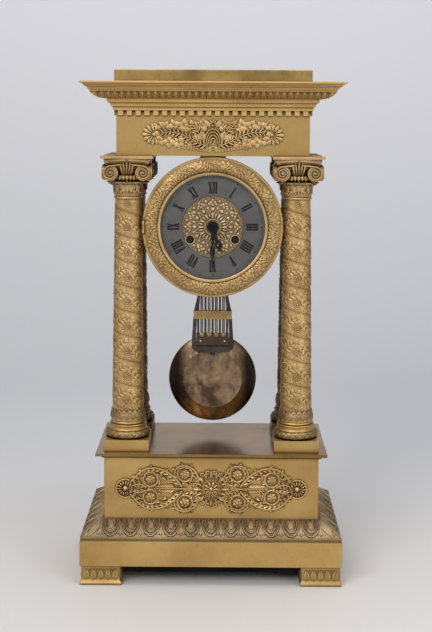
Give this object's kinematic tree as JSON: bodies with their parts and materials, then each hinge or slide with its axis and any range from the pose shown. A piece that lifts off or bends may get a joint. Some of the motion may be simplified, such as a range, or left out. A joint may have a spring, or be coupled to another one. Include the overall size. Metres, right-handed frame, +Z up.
{
  "type": "portico clock",
  "caption": "Gilt portico mantel clock: columns on a pedestal carry an entablature with a hung drum, hinged bezel, geared movement, bell and swinging gridiron pendulum.",
  "frame": {"origin": "middle of the clock's footprint, on the floor under the feet", "axes": "+Z up, the dial faces -Y, +X to the right seen from the front"},
  "size_m": [0.256, 0.152, 0.5032],
  "materials": {
    "gilt_bronze": "cast bronze, fire gilt, worn and slightly brown in the hollows",
    "gilt_mount": "cast and chased bronze, gilt, matt grounds with burnished edges",
    "dial_gilt": "matt gilt dial plate with chased relief",
    "chapter_metal": "dark grey ring with circular brushing",
    "blued_steel": "dark blued steel",
    "dial_glass": "clear flat glass",
    "movement_brass": "finished brass",
    "bell_metal": "turned bell bronze",
    "bright_steel": "polished steel",
    "dark_steel": "dark grey steel bars",
    "pendulum_gilt": "gilt brass rods and bars",
    "bob_bronze": "brown patinated bronze with a polished flat face",
    "board_wood": "dark stained board"
  },
  "bodies": {
    "case": {"bracket_feet": "gilt_bronze", "base_plinth": "gilt_bronze", "pedestal_case": "gilt_bronze", "pedestal_top": "gilt_bronze", "frieze_case": "gilt_bronze", "dentil_course": "gilt_bronze", "cornice": "gilt_bronze", "attic_block": "gilt_bronze", "leaf_moulding": "gilt_bronze", "column_base_front_left": "gilt_bronze", "column_base_front_right": "gilt_bronze", "column_base_rear_left": "gilt_bronze", "column_base_rear_right": "gilt_bronze", "column_shaft_front_left": "gilt_bronze", "column_shaft_front_right": "gilt_bronze", "column_shaft_rear_left": "gilt_bronze", "column_shaft_rear_right": "gilt_bronze", "column_capital_front_left": "gilt_bronze", "column_capital_front_right": "gilt_bronze", "column_capital_rear_left": "gilt_bronze", "column_capital_rear_right": "gilt_bronze", "pedestal_mount": "gilt_mount", "frieze_mount": "gilt_mount", "bezel_hinge_pin": "gilt_mount", "dial_plate": "dial_gilt", "chapter_ring": "chapter_metal", "clock_drum": "movement_brass", "drum_saddle": "movement_brass", "front_plate": "movement_brass", "back_plate": "movement_brass", "movement_pillars": "movement_brass", "bell_bracket": "movement_brass", "back_cock": "movement_brass", "bell": "bell_metal", "tie_rods": "bright_steel", "base_board": "board_wood"},
    "bezel_door": {"bezel": "gilt_mount", "bezel_glass": "dial_glass"},
    "minute_motion": {"minute_hand": "blued_steel", "cannon_pinion": "movement_brass"},
    "hour_motion": {"hour_hand": "blued_steel", "hour_wheel": "movement_brass"},
    "minute_work": {"minute_wheel": "movement_brass"},
    "escape": {"escape_wheel": "movement_brass"},
    "third": {"third_wheel": "movement_brass"},
    "centre": {"centre_wheel": "movement_brass"},
    "intermediate": {"intermediate_wheel": "movement_brass"},
    "going_drum": {"going_barrel": "movement_brass"},
    "going_winder": {"going_arbor": "bright_steel"},
    "strike_winder": {"strike_arbor": "bright_steel"},
    "fly": {"strike_fly": "movement_brass"},
    "pins": {"pin_wheel": "movement_brass"},
    "count": {"count_wheel": "movement_brass"},
    "strike_drum": {"strike_barrel": "movement_brass"},
    "hammer_arm": {"hammer": "bright_steel"},
    "anchor": {"pallet_anchor": "bright_steel"},
    "pendulum": {"suspension_spring": "bright_steel", "pendulum_frame": "dark_steel", "pendulum_brass": "pendulum_gilt", "pendulum_bob": "bob_bronze"}
  },
  "joints": [
    {"name": "bezel_hinge", "type": "hinge", "parent": "case", "child": "bezel_door", "pos_m": [-0.0685, -0.0412, 0.3482], "axis": [0, 0, -1], "range_deg": [0, 90]},
    {"name": "minute_hand_turn", "type": "hinge", "parent": "case", "child": "minute_motion", "pos_m": [0, 0, 0.3482], "axis": [0, 1, 0], "continuous": true},
    {"name": "hour_hand_turn", "type": "hinge", "parent": "case", "child": "hour_motion", "pos_m": [0, 0, 0.3482], "axis": [0, 1, 0], "continuous": true},
    {"name": "minute_wheel_turn", "type": "hinge", "parent": "case", "child": "minute_work", "pos_m": [0, 0, 0.3626], "axis": [0, 1, 0], "continuous": true},
    {"name": "escape_turn", "type": "hinge", "parent": "case", "child": "escape", "pos_m": [0, 0, 0.3747], "axis": [0, 1, 0], "continuous": true},
    {"name": "third_turn", "type": "hinge", "parent": "case", "child": "third", "pos_m": [-0.01127, 0, 0.36224], "axis": [0, 1, 0], "continuous": true},
    {"name": "centre_turn", "type": "hinge", "parent": "case", "child": "centre", "pos_m": [0, 0, 0.3482], "axis": [0, 1, 0], "continuous": true},
    {"name": "intermediate_turn", "type": "hinge", "parent": "case", "child": "intermediate", "pos_m": [0.01405, 0, 0.35863], "axis": [0, 1, 0], "continuous": true},
    {"name": "going_barrel_turn", "type": "hinge", "parent": "case", "child": "going_drum", "pos_m": [0.0224, 0, 0.3356], "axis": [0, 1, 0], "continuous": true},
    {"name": "going_winding", "type": "hinge", "parent": "case", "child": "going_winder", "pos_m": [0.0224, 0, 0.3356], "axis": [0, 1, 0], "continuous": true},
    {"name": "strike_winding", "type": "hinge", "parent": "case", "child": "strike_winder", "pos_m": [-0.0224, 0, 0.3356], "axis": [0, 1, 0], "continuous": true},
    {"name": "fly_turn", "type": "hinge", "parent": "case", "child": "fly", "pos_m": [0.0155, 0, 0.3108], "axis": [0, 1, 0], "continuous": true},
    {"name": "pin_wheel_turn", "type": "hinge", "parent": "case", "child": "pins", "pos_m": [0.00651, 0, 0.31469], "axis": [0, 1, 0], "continuous": true},
    {"name": "count_wheel_turn", "type": "hinge", "parent": "case", "child": "count", "pos_m": [-0.00601, 0, 0.31739], "axis": [0, 1, 0], "continuous": true},
    {"name": "strike_barrel_turn", "type": "hinge", "parent": "case", "child": "strike_drum", "pos_m": [-0.0224, 0, 0.3356], "axis": [0, 1, 0], "continuous": true},
    {"name": "hammer_lift", "type": "hinge", "parent": "case", "child": "hammer_arm", "pos_m": [-0.015, 0, 0.3067], "axis": [0, -1, 0], "range_deg": [0, 16], "stiffness_Nm_per_rad": 0.005, "springref_deg": -2.86},
    {"name": "pendulum_swing", "type": "hinge", "parent": "case", "child": "pendulum", "pos_m": [0, 0.018, 0.3882], "axis": [0, 1, 0], "range_deg": [-4, 4]},
    {"name": "anchor_rock", "type": "hinge", "parent": "case", "child": "anchor", "pos_m": [0, 0, 0.3882], "axis": [0, 1, 0], "range_deg": [-4, 4]}
  ],
  "couplings": [
    {"joint": "minute_wheel_turn", "follows": "minute_hand_turn", "ratio": -0.33333},
    {"joint": "hour_hand_turn", "follows": "minute_hand_turn", "ratio": 0.083333},
    {"joint": "third_turn", "follows": "escape_turn", "ratio": -0.11111},
    {"joint": "centre_turn", "follows": "escape_turn", "ratio": 0.012346},
    {"joint": "intermediate_turn", "follows": "escape_turn", "ratio": -0.0020576},
    {"joint": "going_barrel_turn", "follows": "escape_turn", "ratio": 0.00034294},
    {"joint": "fly_turn", "follows": "pin_wheel_turn", "ratio": -6},
    {"joint": "count_wheel_turn", "follows": "pin_wheel_turn", "ratio": -0.14286},
    {"joint": "strike_barrel_turn", "follows": "pin_wheel_turn", "ratio": 0.02381},
    {"joint": "anchor_rock", "follows": "pendulum_swing", "ratio": 1}
  ]
}
